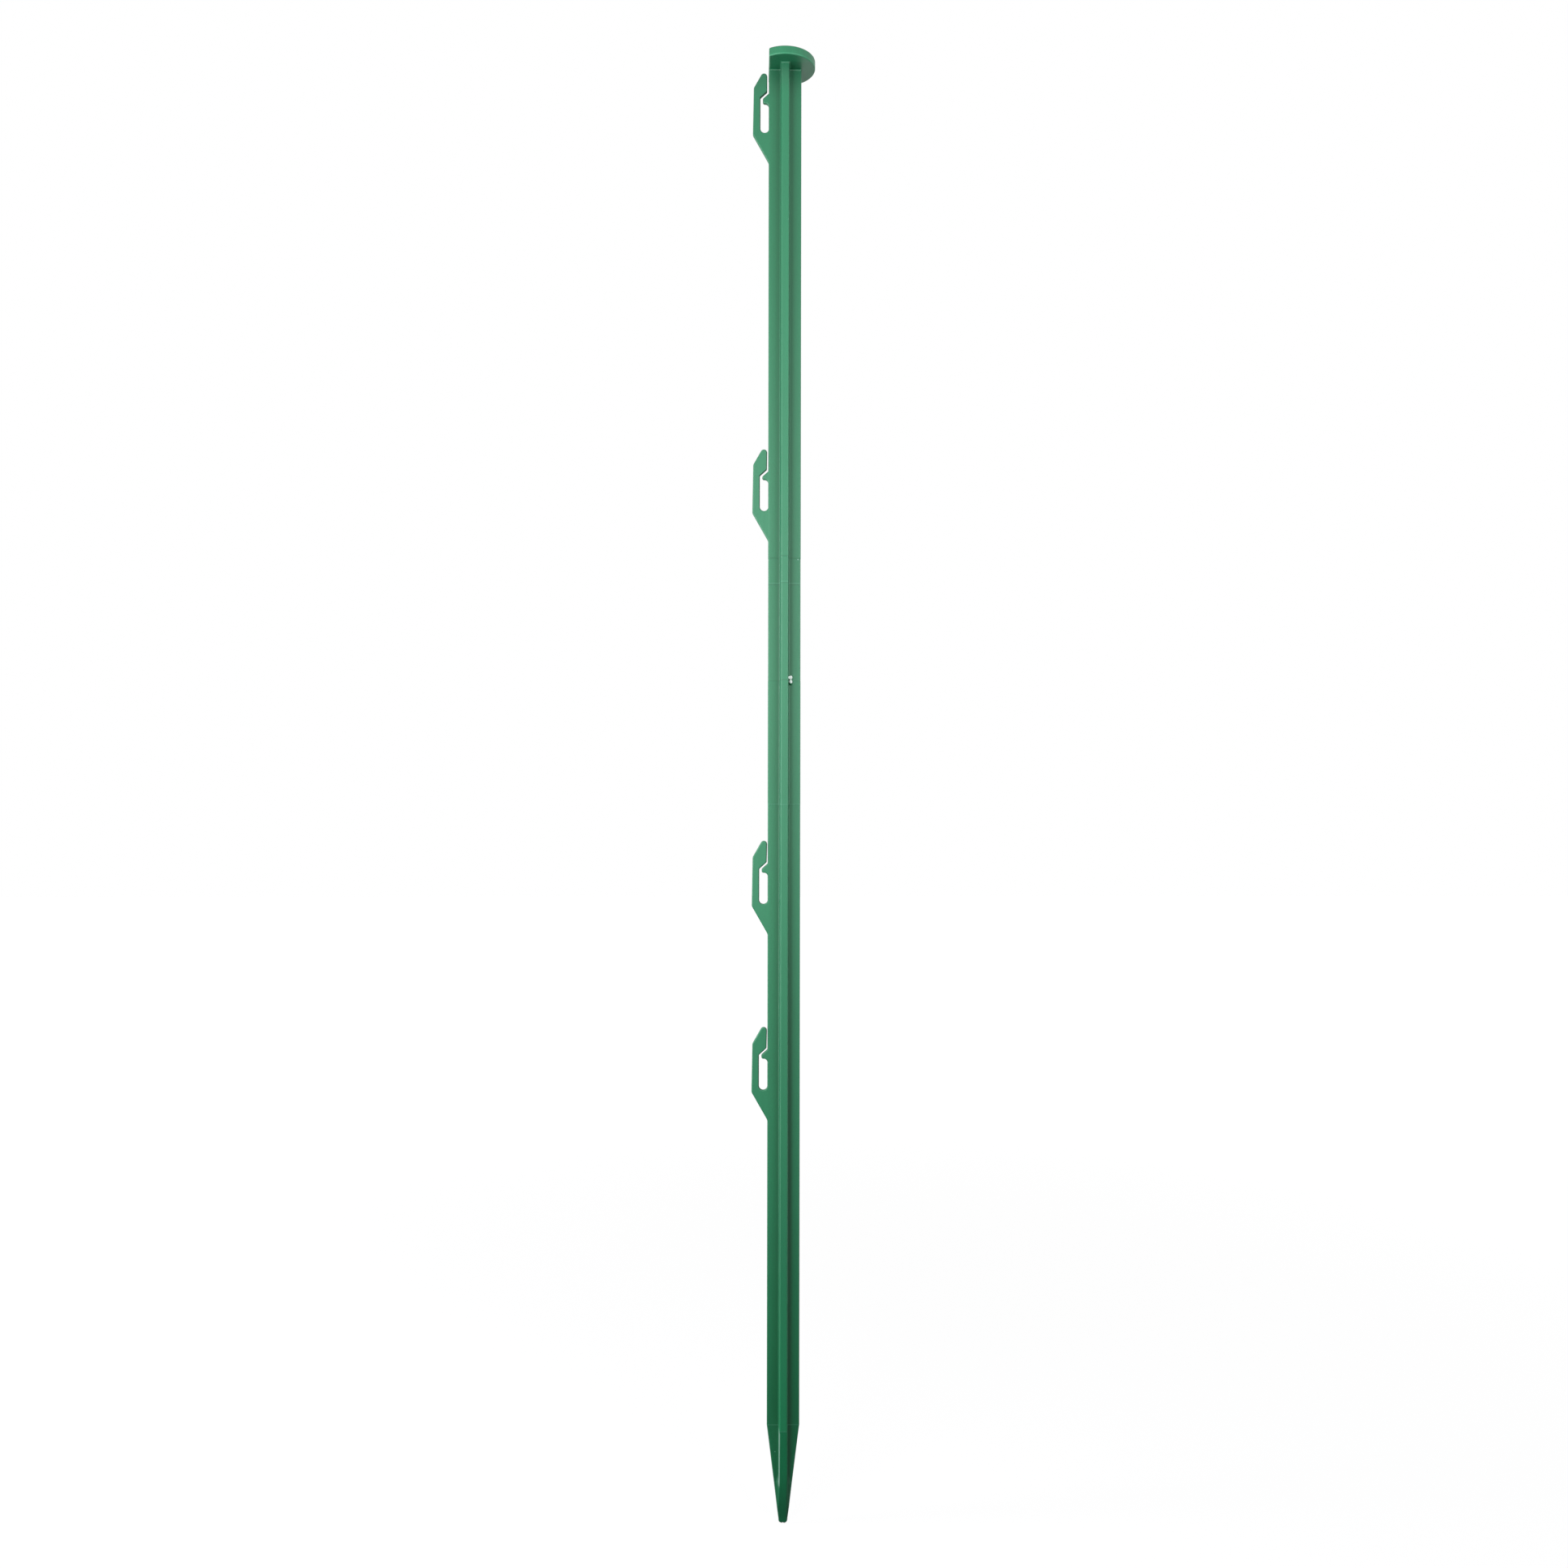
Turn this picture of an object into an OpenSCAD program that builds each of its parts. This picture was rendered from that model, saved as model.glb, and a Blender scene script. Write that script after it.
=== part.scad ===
// Plastic fence post: one green moulding that is pushed or hammered into the ground.
// A cross-shaped shaft carries a round hammer head, four snap-in hooks and a blade-like point.
// Frame: +Z runs up the post and the origin is the end of the point. The hooks are on the
// -X side, in the plane of the plate, and -Y is the front.

/* [Post] */
// Overall length, from the end of the point to the top of the head
post_length = 1200; // [600:5:2000]

/* [Shaft] */
// Width of the plate, across both of its arms
plate_width = 26.7; // [20:0.1:40]
// Thickness of the plate
plate_thickness = 3.4; // [2.6:0.1:6]
// Rounding along the plate's edges
plate_edge_radius = 1.0; // [0.3:0.1:1.2]
// Reach of the front and rear ribs, measured from the post's axis
rib_reach = 13.4; // [8:0.1:20]
// Width of a rib at its outer face
rib_width = 6.0; // [4:0.1:9]
// Draft on each flank of a rib, in degrees
rib_draft = 3.5; // [0.5:0.1:5]
// Rounding along a rib's outer edges
rib_edge_radius = 1.0; // [0.3:0.1:1.8]
// Fillet in the corner between a rib and the plate
root_radius = 0.8; // [0.4:0.1:3]

/* [Point] */
// Height at which the shaft starts to narrow
point_length = 79; // [40:1:160]
// Width of the plate where the blunt end begins
end_width = 7.4; // [4:0.1:12]
// Depth of the blunt end, from the front rib's face to the rear rib's
end_depth = 3.4; // [2:0.1:12]
// Height of the blunt end
end_height = 1.6; // [0.5:0.1:5]
// How far each side of the blunt end slopes in
end_inset = 0.8; // [0.2:0.1:0.9]
// Fillet between a rib and the plate in the toe, where the corners are filled for strength
toe_root_radius = 3.8; // [1:0.1:5]
// Height up to which the corners are filled
toe_height = 30; // [10:1:60]
// Height over which the filling fades out above that
toe_fade = 9; // [3:1:30]

/* [Head] */
// Diameter of the hammer head
head_diameter = 49.4; // [36:0.2:70]
// Thickness of the hammer head
head_thickness = 7.1; // [4:0.1:15]
// Rounding around the head's two rims
head_edge_radius = 0.8; // [0.2:0.1:2]
// Fillet where the plate and the ribs run into the head
neck_radius = 1.2; // [0.5:0.1:3]

/* [Hooks] */
// Depth of each slot's floor below the top of the head, from the lowest hook to the highest
slot_drops = [845.9, 693.0, 370.0, 59.2]; // [55:0.1:1100]
// Mouth between each arm's tip and the plate, which differs a little as the arms relax
mouth_gaps = [0.3, 0.4, 0.9, 1.3]; // [0.3:0.1:3]
// Width of a slot, between the plate and the arm
slot_width = 6.9; // [5:0.1:9]
// Height of an arm's tip above the slot's floor
arm_height = 49.5; // [42:0.1:70]
// Width of an arm at the slot's floor
arm_width = 6.2; // [3:0.1:9]
// Distance that an arm's outer edge leans in from foot to shoulder
arm_lean = 0.7; // [0:0.1:1.5]
// Rounding of an arm's tip
tip_radius = 2.7; // [1.5:0.1:3]
// Slope of an arm's shoulder, in degrees from upright
shoulder_angle = 29.7; // [20:0.1:45]
// Height of the corner where the arm leaves the slot for the barb
barb_height = 28.8; // [26:0.1:34]
// Slope of the barb's underside and of the nose's top, in degrees from level
barb_angle = 42; // [30:1:60]
// Gap between the barb's upper corner and the plate
barb_gap = 1.3; // [0.5:0.1:3]
// Rounding of the barb's two corners
barb_radius = 1.1; // [0.4:0.1:2]
// Depth of a hook's foot below the slot's floor
foot_depth = 24.8; // [15:0.1:40]
// Fillet where the foot's slope leaves the plate's edge
foot_root_radius = 6.0; // [1:0.5:15]
// Rounding of the foot's outer corner and of the shoulder
arm_corner_radius = 4.0; // [1:0.1:8]
// Reach of the nose from the plate into the slot
nose_reach = 4.9; // [3:0.1:6]
// Height of the nose's lower lip above the slot's floor
nose_height = 23.0; // [16:0.1:25]
// Rounding of the nose
nose_radius = 1.5; // [0.8:0.1:2]
// Fillet between the nose's underside and the plate's edge
nose_root_radius = 3.0; // [0.5:0.1:3.2]
// Clear way between the barb and the nose, measured upright
passage_height = 2.6; // [1.5:0.1:5]

/* [Gate mark] */
// Height of the stub that the injection gate left
gate_height = 691; // [100:1:1100]
// Width of the stub
gate_width = 3.6; // [1:0.1:6]
// Length of the stub along the post
gate_length = 7.8; // [6:0.1:14]
// How far the stub stands out from the plate
gate_reach = 3.2; // [0.5:0.1:5]
// How far the stub is sunk into the foot of the rib
gate_sink = 0.6; // [0.2:0.1:1.5]

/* [Hidden] */
$fn = 64;
post_green = [0.18, 0.47, 0.36];
half_plate = plate_width / 2;
half_thickness = plate_thickness / 2;
head_underside = post_length - head_thickness;
// Half the width that a rib has where it meets the plate's face
half_rib_root = rib_width / 2 + (rib_reach - half_thickness) * tan(rib_draft);
// Pieces of the moulding run this far into each other
bite = 1;
// A hook is buried this far in the plate, past the plate's rounded edge
hook_root = plate_edge_radius + 2 * bite;
// Any cutting body reaches this far past what it cuts
clear = 20;
// Each disc that rounds a corner is larger by this, so it crosses the edges that it blends
crossing = 0.001;
// The filling of a hollow corner is this many times as large as the corner itself
anchor = 1.2;

// Direction of a flat vector, as a vector of length 1
function unit(v) = v / norm(v);

// Turn at the middle one of three points: positive where an outline drawn anticlockwise bulges
function turn(p, v, q) = (v.x - p.x) * (q.y - v.y) - (v.y - p.y) * (q.x - v.x);

// First two entries of a corner, as a flat point
function flat(corner) = [corner.x, corner.y];

// Where the rounding of a corner starts and ends, and the centre of its arc
function rounding(p, v, q, r) =
    let (to_p = unit(p - v), to_q = unit(q - v), half = acos(to_p * to_q) / 2)
    [v + to_p * r / tan(half), v + to_q * r / tan(half), v + unit(to_p + to_q) * r / sin(half)];

// Outline drawn anticlockwise through corners given as [x, y, radius], each rounded by a true
// arc. A bulging corner is cut off straight and a disc tops it. A hollow corner gets a filling
// with a disc cut out of it, which is anchored in the body behind it.
module rounded_outline(corners) {
    n = len(corners);
    points = [for (c = corners) flat(c)];
    turns = [for (i = [0:n - 1]) turn(points[(i + n - 1) % n], points[i], points[(i + 1) % n])];
    arcs = [for (i = [0:n - 1])
        rounding(points[(i + n - 1) % n], points[i], points[(i + 1) % n], corners[i].z)];
    polygon([for (i = [0:n - 1]) each turns[i] > 0 ? [arcs[i][0], arcs[i][1]] : [points[i]]]);
    for (i = [0:n - 1])
        if (corners[i].z > 0)
            translate(arcs[i][2])
                if (turns[i] > 0)
                    circle(corners[i].z + crossing);
                else
                    difference() {
                        polygon([
                            [0, 0],
                            (arcs[i][0] - arcs[i][2]) * anchor,
                            (points[i] - arcs[i][2]) * anchor,
                            (arcs[i][1] - arcs[i][2]) * anchor
                        ]);
                        circle(corners[i].z + crossing);
                    }
}

// Cross section of the shaft, with drafted ribs, rounded edges and the given fillet at the roots
module shaft_section(root) {
    edge = plate_edge_radius;
    rim = rib_edge_radius;
    rounded_outline([
        [half_plate, -half_thickness, edge],
        [half_plate, half_thickness, edge],
        [half_rib_root, half_thickness, root],
        [rib_width / 2, rib_reach, rim],
        [-rib_width / 2, rib_reach, rim],
        [-half_rib_root, half_thickness, root],
        [-half_plate, half_thickness, edge],
        [-half_plate, -half_thickness, edge],
        [-half_rib_root, -half_thickness, root],
        [-rib_width / 2, -rib_reach, rim],
        [rib_width / 2, -rib_reach, rim],
        [half_rib_root, -half_thickness, root]
    ]);
}

// Wedge that narrows from a half width at the top of the point to another at the blunt end. It
// stands in the X-Z plane and is deeper than the shaft
module point_wedge(half_width, half_end) {
    depth = 2 * (rib_reach + plate_width);
    rotate([90, 0, 0])
        linear_extrude(depth, center = true)
            polygon([
                [end_inset - half_end, 0],
                [half_end - end_inset, 0],
                [half_end, end_height],
                [half_width, point_length],
                [half_width + clear, point_length],
                [half_width + clear, post_length],
                [-half_width - clear, post_length],
                [-half_width - clear, point_length],
                [-half_width, point_length],
                [-half_end, end_height]
            ]);
}

// Filling of the four corners of the cross in the toe. A cone takes it off towards its top, so
// that it runs out in the corners
module toe() {
    corner = norm([half_rib_root, half_thickness]);
    filled = norm([half_rib_root + toe_root_radius, half_thickness]);
    intersection() {
        linear_extrude(toe_height + toe_fade)
            shaft_section(toe_root_radius);
        union() {
            cylinder(h = toe_height, r = filled);
            translate([0, 0, toe_height])
                cylinder(h = toe_fade, r1 = filled, r2 = corner);
        }
    }
}

// Shaft from the end of the point up into the head
module shaft() {
    intersection() {
        union() {
            linear_extrude(head_underside + head_thickness / 2)
                shaft_section(root_radius);
            toe();
        }
        point_wedge(half_plate, end_width / 2);
        rotate(90)
            point_wedge(rib_reach, end_depth / 2);
    }
}

// Round hammer head with softened rims. On the hooks' side it is cut flush with the plate's
// edge, so that a rope can be led down past it into the top hook
module head() {
    rim = head_edge_radius;
    radius = head_diameter / 2;
    translate([0, 0, head_underside])
        difference() {
            rotate_extrude()
                rounded_outline([
                    [0, 0, 0],
                    [radius, 0, rim],
                    [radius, head_thickness, rim],
                    [0, head_thickness, 0]
                ]);
            translate([-half_plate - radius, -radius, -bite])
                cube([radius, head_diameter, head_thickness + 2 * bite]);
        }
}

// Fillet under the head along one face of an arm: a bar with a hollow side, lying along X
module neck_fillet(length) {
    rotate([90, 0, 90])
        linear_extrude(length, center = true)
            difference() {
                translate([-neck_radius, -neck_radius])
                    square(neck_radius + bite);
                translate([-neck_radius, -neck_radius])
                    circle(neck_radius);
            }
}

// The four faces of the plate and the two outer faces of the ribs flow into the head
module neck() {
    fillet_length = half_plate - half_rib_root - plate_edge_radius;
    middle = (half_plate + half_rib_root - plate_edge_radius) / 2;
    for (side = [-1, 1], face = [0, 180])
        translate([side * middle, 0, head_underside])
            rotate(face)
                translate([0, -half_thickness, 0])
                    neck_fillet(fillet_length);
    for (face = [0, 180])
        translate([0, 0, head_underside])
            rotate(face)
                translate([0, -rib_reach, 0])
                    neck_fillet(rib_width - 2 * rib_edge_radius);
}

// Outline of one hook: X runs outward from the plate's edge and Y up from the slot's floor
module hook_outline(mouth) {
    outer_foot = slot_width + arm_width;
    outer_shoulder = outer_foot - arm_lean;
    slope = [cos(shoulder_angle), sin(shoulder_angle)];
    tip_centre = [mouth + tip_radius, arm_height - tip_radius];
    // The shoulder's line touches the tip's circle, and meets the arm's two edges here
    reach = slope * tip_centre + tip_radius;
    tip_corner = (reach - slope.x * mouth) / slope.y;
    shoulder = (reach - slope.x * outer_shoulder) / slope.y;
    barb_inner = barb_height + (slot_width - barb_gap) * tan(barb_angle);
    difference() {
        rounded_outline([
            [-hook_root, slot_width / 2, 0],
            [-hook_root, -foot_depth - foot_root_radius, 0],
            [0, -foot_depth - foot_root_radius, 0],
            [0, -foot_depth, foot_root_radius],
            [outer_foot, -foot_depth + outer_foot / tan(shoulder_angle), arm_corner_radius],
            [outer_shoulder, shoulder, arm_corner_radius],
            [mouth, tip_corner, tip_radius],
            [barb_gap, barb_inner, barb_radius],
            [slot_width, barb_height, barb_radius],
            [slot_width, slot_width / 2, 0]
        ]);
        translate([slot_width / 2, slot_width / 2])
            circle(slot_width / 2);
    }
}

// Nose on the plate's edge that keeps a rope in the slot
module nose_outline() {
    // The nose's top runs parallel to the barb's underside, the passage below it
    top_root = barb_height + slot_width * tan(barb_angle) - passage_height;
    rounded_outline([
        [-hook_root, top_root, 0],
        [-hook_root, nose_height - 2 * nose_root_radius, 0],
        [0, nose_height - 2 * nose_root_radius, 0],
        [0, nose_height, nose_root_radius],
        [nose_reach, nose_height, nose_radius],
        [nose_reach, top_root - nose_reach * tan(barb_angle), nose_radius],
        [0, top_root, 0]
    ]);
}

// One hook in the plate's plane, on the post's left edge
module hook(mouth) {
    translate([-half_plate, 0, 0])
        rotate([90, 0, 0])
            linear_extrude(plate_thickness, center = true)
                mirror([1, 0])
                    union() {
                        hook_outline(mouth);
                        nose_outline();
                    }
}

// Stub that the injection gate left in the corner between the front rib and the plate. It is
// an upright slot shape: two discs with a bar between their centres
module gate_stub() {
    straight = gate_length - gate_width;
    translate([half_rib_root + gate_width / 2 - gate_sink, bite - half_thickness, gate_height])
        rotate([90, 0, 0])
            linear_extrude(gate_reach + bite) {
                square([gate_width, straight], center = true);
                for (end = [-1, 1])
                    translate([0, end * straight / 2])
                        circle(d = gate_width);
            }
}

// The whole post, which is one moulding
module post() {
    color(post_green) {
        shaft();
        head();
        neck();
        for (i = [0:len(slot_drops) - 1])
            translate([0, 0, post_length - slot_drops[i]])
                hook(mouth_gaps[i]);
        gate_stub();
    }
}

post();
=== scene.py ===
# %% [markdown]
# # A plastic fence post, dressed for the camera
# The real object is one green injection moulding, 1.2 m tall: a shaft with a cross-shaped
# section, a round hammer head, four snap-in rope hooks and a point for the ground. Its CAD
# solid comes in as a fixed frame. This script makes a finer skin for it, with the soft edges,
# witness lines and torn gate of a moulded part, then its plastic, the light and the camera.

import math

import bmesh
import bpy
import numpy as np
from mathutils import Matrix, Vector


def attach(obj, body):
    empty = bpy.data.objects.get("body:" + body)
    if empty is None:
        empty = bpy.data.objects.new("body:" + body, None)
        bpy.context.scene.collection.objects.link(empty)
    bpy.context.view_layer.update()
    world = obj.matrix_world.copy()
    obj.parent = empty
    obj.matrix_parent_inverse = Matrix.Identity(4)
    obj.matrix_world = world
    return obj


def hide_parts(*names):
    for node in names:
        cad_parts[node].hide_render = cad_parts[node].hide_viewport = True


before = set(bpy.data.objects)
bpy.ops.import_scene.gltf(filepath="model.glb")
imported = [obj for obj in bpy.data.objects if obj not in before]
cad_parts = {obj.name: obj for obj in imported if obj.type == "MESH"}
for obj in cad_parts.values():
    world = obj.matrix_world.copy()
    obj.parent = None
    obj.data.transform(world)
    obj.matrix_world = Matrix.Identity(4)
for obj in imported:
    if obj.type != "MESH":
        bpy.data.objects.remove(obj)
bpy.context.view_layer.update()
MM = 0.001

# %% [markdown]
# ## The camera
# The photograph was taken from close by, level with the middle of the post, so the head is
# seen from below and the point from above. The distance follows from how far the front rim of
# the head stands above the plate in the picture, and the lens from the post's height there.
# The post also leans by a tenth of a degree, which is a roll of the camera, and shows a little
# more of the rib's left flank than of its right, which is a small step to the left.

# %% Place the camera
CAMERA_DISTANCE = 1082.6
CAMERA_HEIGHT = 605.6
CAMERA_SIDESTEP = math.radians(1.3)
CAMERA_ROLL = math.radians(0.092)

lens = bpy.data.cameras.new("camera")
lens.sensor_fit = "HORIZONTAL"
lens.sensor_width = 36.0
lens.lens = 30.2
lens.clip_start = 0.01
camera = bpy.data.objects.new("camera", lens)
bpy.context.scene.collection.objects.link(camera)
place = Matrix.Translation((
    -CAMERA_DISTANCE * math.sin(CAMERA_SIDESTEP) * MM,
    -CAMERA_DISTANCE * math.cos(CAMERA_SIDESTEP) * MM,
    CAMERA_HEIGHT * MM,
))
turn = Matrix.Rotation(-CAMERA_SIDESTEP, 4, "Z") @ Matrix.Rotation(math.radians(90), 4, "X")
camera.matrix_world = place @ turn @ Matrix.Rotation(CAMERA_ROLL, 4, "Z")
bpy.context.scene.camera = camera
print("camera at", [round(v, 4) for v in camera.matrix_world.translation])

# %% [markdown]
# ## Meshes from arrays
# Every surface below is a grid of points: rows that follow one parameter and columns that
# follow another. One helper turns such a grid into a closed mesh. Its columns go all the way
# round, and its first and last rows are closed with a lid each. Points are in millimetres, as
# on a drawing, and become metres in the mesh.

# %% Helpers that turn a grid of points into a closed mesh
MERGE_DISTANCE = 0.002 * MM


def measure(name, shape):
    """Prints the faces of a mesh, its open edges, which don't join exactly two faces, and its
    volume."""
    open_edges = sum(1 for edge in shape.edges if len(edge.link_faces) != 2)
    print(f"{name}: {len(shape.faces)} faces, {open_edges} open edges, "
          f"{shape.calc_volume(signed=True) / MM ** 3:.0f} mm3")


def tube_mesh(name, rows):
    """Closed mesh from an array of rows of points, in millimetres. Each row is a ring, and
    point j of row i is joined to its neighbours j + 1 and i + 1. The outer rows get lids."""
    count, around = rows.shape[:2]
    i, j = np.meshgrid(np.arange(count - 1), np.arange(around), indexing="ij")
    row, next_row, k = i * around, (i + 1) * around, (j + 1) % around
    quads = np.stack([row + j, row + k, next_row + k, next_row + j], -1)
    lids = [list(range(around))[::-1], list(range((count - 1) * around, count * around))]
    mesh = bpy.data.meshes.new(name)
    mesh.from_pydata(rows.reshape(-1, 3) * MM, [], quads.reshape(-1, 4).tolist() + lids)
    return mesh


def closed_object(name, rows):
    """Object whose mesh has no double points and whose faces point outwards."""
    mesh = tube_mesh(name, rows)
    shape = bmesh.new()
    shape.from_mesh(mesh)
    bmesh.ops.remove_doubles(shape, verts=shape.verts, dist=MERGE_DISTANCE)
    bmesh.ops.recalc_face_normals(shape, faces=shape.faces)
    if shape.calc_volume(signed=True) < 0:
        bmesh.ops.reverse_faces(shape, faces=shape.faces)
    measure(name, shape)
    shape.to_mesh(mesh)
    shape.free()
    thing = bpy.data.objects.new(name, mesh)
    bpy.context.scene.collection.objects.link(thing)
    return thing


# %% [markdown]
# ## The shaft
# The shaft is a flat plate with a drafted rib on its front and its rear. Its section is the
# same for most of its length, so the shaft is a section carried along the post's axis. Near
# the ground the section is cut: the plate gets narrower and the ribs get lower, until they run
# out in the plate. The cut walks down the rib's flank, then down the fillet at its root. That
# fillet is small along the shaft, but it grows in the toe of the point, where the corners are
# filled for strength. So the rib's face spreads over the toe like the tip of a blade.
#
# One quarter of the section is enough, because the other three mirror it. It runs along the
# rib's face, round its edge, down the flank and the fillet, out over the plate and round the
# plate's edge. Each stretch has a fixed number of points, so every row has as many points as
# the next and the rows can be joined.

# %% Sizes of the shaft
POST_LENGTH = 1200.0
HEAD_THICKNESS = 7.1
HEAD_UNDERSIDE = POST_LENGTH - HEAD_THICKNESS
HALF_PLATE = 26.7 / 2
HALF_THICKNESS = 3.4 / 2
RIB_REACH = 13.4
HALF_RIB = 6.0 / 2
RIB_DRAFT = math.radians(3.5)
ROOT_RADIUS = 0.8
RIB_EDGE = 1.0
PLATE_EDGE = 0.9
NECK_RADIUS = 1.2
POINT_LENGTH = 79.0
TOE_ROOT = 3.8
TOE_HEIGHT = 30.0
TOE_FADE = 9.0
END_HEIGHT = 1.6
END_HALF_WIDTH = 7.4 / 2
END_HALF_DEPTH = 3.4 / 2
END_INSET = 0.8
END_SIDE_RATIO = 1.6
print(f"plate {2 * HALF_PLATE:.1f} x {2 * HALF_THICKNESS:.1f} mm, ribs {2 * HALF_RIB:.1f} mm "
      f"wide and {RIB_REACH} mm deep, point {POINT_LENGTH} mm long")

# %% One row of the shaft, as a function of its sizes
LEAST_ROOT = 0.15
LEAST_FALL = 0.02
EDGE_SHARE = 0.7
CUT_SHARE = 0.45


def quarter_section(reach, half_width, root, flare):
    """Points of a quarter of the section, from the middle of the rib's face to the middle of
    the plate's edge, for arrays of sizes with one entry a row. The flank is a straight line
    with draft, the root is an arc that touches the flank and the plate, and both stop where
    they are as deep as the rib's reach or as wide as the plate. The flare thickens plate and
    rib alike, and where little is left of them, edges and root keep to a share of it."""
    sin, cos = math.sin(RIB_DRAFT), math.cos(RIB_DRAFT)
    thick, root = HALF_THICKNESS + flare, np.maximum(root - flare, LEAST_ROOT)
    top_x, top_y = HALF_RIB + flare, RIB_REACH + flare
    centre_y = thick + root
    centre_x = top_x + (root - (centre_y - top_y) * sin) / cos
    flank = (top_y - (centre_y - root * sin)) / cos
    arc = root * (math.pi / 2 - RIB_DRAFT)

    def along(s):
        """Point of the flank, the arc or the plate at the length s from the rib's full edge."""
        angle = math.pi + RIB_DRAFT + np.clip(s - flank, 0, arc) / root
        x = np.where(s < flank, top_x + s * sin, centre_x + root * np.cos(angle))
        y = np.where(s < flank, top_y - s * cos, centre_y + root * np.sin(angle))
        return x + np.clip(s - flank - arc, 0, None), y

    edge = np.minimum(PLATE_EDGE, EDGE_SHARE * np.minimum(reach, thick))
    inner = half_width - edge
    on_arc_y = np.arcsin(np.clip((centre_y - reach) / root, 0, 1)) - RIB_DRAFT
    start = np.where(reach > centre_y - root * sin, (top_y - reach) / cos, flank + root * on_arc_y)
    on_arc_x = np.arccos(np.clip((centre_x - inner) / root, 0, 1)) - RIB_DRAFT
    stop = np.where(inner > centre_x, flank + arc + inner - centre_x, flank + root * on_arc_x)
    stop = np.maximum(stop, start)

    corner_x, corner_y = along(start)
    corner_x, corner_y = np.minimum(corner_x, inner), np.minimum(corner_y, reach)
    fall = np.clip(np.where(start < flank, arc, flank + arc - start) / root, LEAST_FALL, None)
    room = CUT_SHARE * np.minimum(corner_x, stop - start)
    cut = np.minimum(RIB_EDGE * np.tan(fall / 2), room)
    first_x = corner_x - cut
    last_x, last_y = along(start + cut)
    last_x, last_y = np.minimum(last_x, inner), np.minimum(last_y, reach)

    t = np.linspace(0, 1, 5)[:-1]
    face = np.stack([first_x * t, reach + 0 * t * first_x], -1)
    t = np.linspace(0, 1, 9)
    bend = np.stack([
        (1 - t) ** 2 * first_x + 2 * t * (1 - t) * corner_x + t ** 2 * last_x,
        (1 - t) ** 2 * reach + 2 * t * (1 - t) * corner_y + t ** 2 * last_y,
    ], -1)
    begin = start + cut
    marks = [begin, np.clip(flank, begin, stop), np.clip(flank + arc, begin, stop), stop]
    stretches = []
    for a, b, steps in zip(marks[:-1], marks[1:], (4, 12, 5)):
        x, y = along(a + (b - a) * np.linspace(0, 1, steps + 1)[1:])
        stretches.append(np.stack([np.minimum(x, inner), np.minimum(y, reach)], -1))
    side_y = stretches[-1][:, -1:, 1]
    t = np.linspace(0, math.pi / 2, 8)[1:]
    rim = np.stack([inner + edge * np.sin(t), side_y - edge + edge * np.cos(t)], -1)
    middle = np.stack([half_width, 0 * half_width], -1)
    return np.concatenate([face, bend, *stretches, rim, middle], 1)


def whole_section(quarter):
    """Full ring from a quarter, mirrored left to right and front to back. It runs once round
    the section and skips the points that two neighbouring quarters share."""
    right_rear = quarter
    right_front = quarter[:, -2::-1] * [1, -1]
    left_front = quarter[:, 1:] * [-1, -1]
    left_rear = quarter[:, -2:0:-1] * [-1, 1]
    return np.concatenate([right_rear, right_front, left_front, left_rear], 1)


full_size = (np.array([[size]]) for size in (RIB_REACH, HALF_PLATE, ROOT_RADIUS, 0.0))
print("a row of the shaft has", whole_section(quarter_section(*full_size)).shape[1], "points")

# %% [markdown]
# The mould is made of inserts, and each joint between two of them leaves a witness line across
# the shaft: a hair-thin ridge, with a step of a tenth of a millimetre beside it. They are real
# shape here, so that they catch the light as it moves. A ridge like them marks where the point
# begins. The rows of the shaft stand closer where a size changes fast.

# %% Rows of the shaft
SEAMS = (589.0, 689.9, 790.9)
SEAM_STEPS = (0.0, 0.05, -0.04, 0.06)
RIDGE_HEIGHT = 0.07
RIDGE_HALF = 0.22

levels = np.concatenate([
    np.linspace(0, END_HEIGHT, 7),
    np.linspace(END_HEIGHT, TOE_HEIGHT + TOE_FADE, 49)[1:],
    np.linspace(TOE_HEIGHT + TOE_FADE, POINT_LENGTH, 16)[1:],
    np.linspace(POINT_LENGTH, HEAD_UNDERSIDE - NECK_RADIUS, 120)[1:],
    HEAD_UNDERSIDE - NECK_RADIUS * (1 - np.sin(np.linspace(0, math.pi / 2, 7)[1:])),
    [HEAD_UNDERSIDE + 0.4 * HEAD_THICKNESS],
    np.array([[seam + side * RIDGE_HALF for side in (-1, -0.5, 0, 0.5, 1)]
              for seam in (*SEAMS, POINT_LENGTH)]).ravel(),
])
levels = np.unique(np.round(levels, 4))[:, None]

up = np.clip((levels - END_HEIGHT) / (POINT_LENGTH - END_HEIGHT), 0, 1)
half_width = END_HALF_WIDTH + (HALF_PLATE - END_HALF_WIDTH) * up
reach = END_HALF_DEPTH + (RIB_REACH - END_HALF_DEPTH) * up
blunt = END_INSET * (1 - np.sqrt(1 - np.clip(1 - levels / END_HEIGHT, 0, 1) ** 2))
into_neck = np.clip(levels - (HEAD_UNDERSIDE - NECK_RADIUS), 0, NECK_RADIUS)
neck = NECK_RADIUS - np.sqrt(NECK_RADIUS ** 2 - into_neck ** 2)
ridges = sum(RIDGE_HEIGHT * np.clip(1 - abs(levels - seam) / RIDGE_HALF, 0, 1)
             for seam in (*SEAMS, POINT_LENGTH))
beside_seams = sorted(seam + side * RIDGE_HALF / 2 for seam in SEAMS for side in (-1, 1))
steps = np.interp(levels, beside_seams, np.repeat(SEAM_STEPS, 2)[1:-1])
swell = ridges + steps * up
filled = np.clip((TOE_HEIGHT + TOE_FADE - levels) / TOE_FADE, 0, 1)
root = ROOT_RADIUS + (TOE_ROOT - ROOT_RADIUS) * filled ** 2 * (3 - 2 * filled)

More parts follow.
